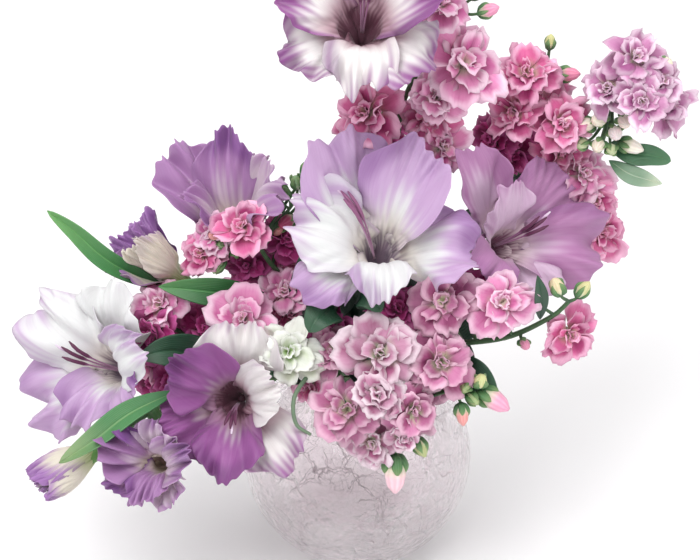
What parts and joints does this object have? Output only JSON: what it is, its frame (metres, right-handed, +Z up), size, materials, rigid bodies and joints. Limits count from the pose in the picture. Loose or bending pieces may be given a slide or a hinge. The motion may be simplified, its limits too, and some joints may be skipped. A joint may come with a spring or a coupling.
{
  "type": "gladioli in a vase",
  "caption": "Mixed bouquet of lavender and white gladioli with pink double stock, standing in a round crackled glass vase.",
  "frame": {"origin": "middle of the underside of the vase's flat foot, on the surface that it stands on", "axes": "+Z up; -Y towards the bouquet's front, the side that it is arranged to be seen from; +X to the right from there"},
  "size_m": [0.424, 0.2294, 0.4431],
  "materials": {
    "vase_glass": "clear pale pink glass, crackled all through, fire-polished",
    "gladiolus_lavender_petal": "thin ruffled tepals, white at the heart and lavender to purple at the edges",
    "gladiolus_white_petal": "thin ruffled tepals, cool white with lavender edges",
    "stock_pink_petal": "soft crumpled petals, rose pink to deep magenta",
    "stock_pale_petal": "soft crumpled petals, pale pink to white with a green-cream heart",
    "gladiolus_stem": "smooth waxy green stem",
    "stock_stem": "downy grey-green stem",
    "spathe": "fresh green sheath leaf, ribbed along",
    "leaf": "dark green leaf, satin",
    "stamen": "mauve anthers and style"
  },
  "bodies": {
    "root": {"curled_stalk": "leaf", "gladiolus_bud": "gladiolus_lavender_petal", "gladiolus_flower_centre": "gladiolus_white_petal", "gladiolus_flower_crumpled": "gladiolus_lavender_petal", "gladiolus_flower_front_left": "gladiolus_lavender_petal", "gladiolus_flower_half_open": "gladiolus_lavender_petal", "gladiolus_flower_left": "gladiolus_white_petal", "gladiolus_flower_right": "gladiolus_lavender_petal", "gladiolus_flower_top": "gladiolus_lavender_petal", "gladiolus_flower_upper_left": "gladiolus_lavender_petal", "gladiolus_stem_centre": "gladiolus_stem", "gladiolus_stem_left": "gladiolus_stem", "gladiolus_stem_lower_left": "gladiolus_stem", "gladiolus_stem_right": "gladiolus_stem", "gladiolus_stem_upper_left": "gladiolus_stem", "leaf_back_left": "leaf", "leaf_back_right": "leaf", "leaf_far_right_lower": "leaf", "leaf_far_right_upper": "leaf", "leaf_long_left": "leaf", "leaf_lower_right": "leaf", "leaf_pointed_left": "leaf", "leaf_round_left": "leaf", "leaf_round_right": "leaf", "leaf_slender_right": "leaf", "spathe_long_left": "spathe", "spathe_lower_left": "spathe", "spathe_middle_left": "spathe", "stamens_centre": "stamen", "stamens_front_left": "stamen", "stamens_left": "stamen", "stamens_right": "stamen", "stamens_top": "stamen", "stock_floret_centre_a": "stock_pale_petal", "stock_floret_centre_b": "stock_pink_petal", "stock_floret_centre_c": "stock_pink_petal", "stock_floret_centre_d": "stock_pink_petal", "stock_floret_far_right_a": "stock_pale_petal", "stock_floret_far_right_b": "stock_pink_petal", "stock_floret_far_right_c": "stock_pink_petal", "stock_floret_far_right_d": "stock_pink_petal", "stock_floret_left_a": "stock_pink_petal", "stock_floret_left_b": "stock_pale_petal", "stock_floret_lower_right_a": "stock_pink_petal", "stock_floret_lower_right_b": "stock_pink_petal", "stock_floret_lower_right_c": "stock_pink_petal", "stock_floret_right_a": "stock_pink_petal", "stock_floret_right_b": "stock_pink_petal", "stock_floret_tall_a": "stock_pink_petal", "stock_floret_tall_b": "stock_pink_petal", "stock_floret_tall_c": "stock_pink_petal", "stock_floret_tall_d": "stock_pale_petal", "stock_stem_centre": "stock_stem", "stock_stem_far_right": "stock_stem", "stock_stem_left": "stock_stem", "stock_stem_lower_right": "stock_stem", "stock_stem_right": "stock_stem", "stock_stem_tall": "stock_stem", "stock_stem_upper_left": "stock_stem", "vase": "vase_glass"}
  },
  "joints": []
}
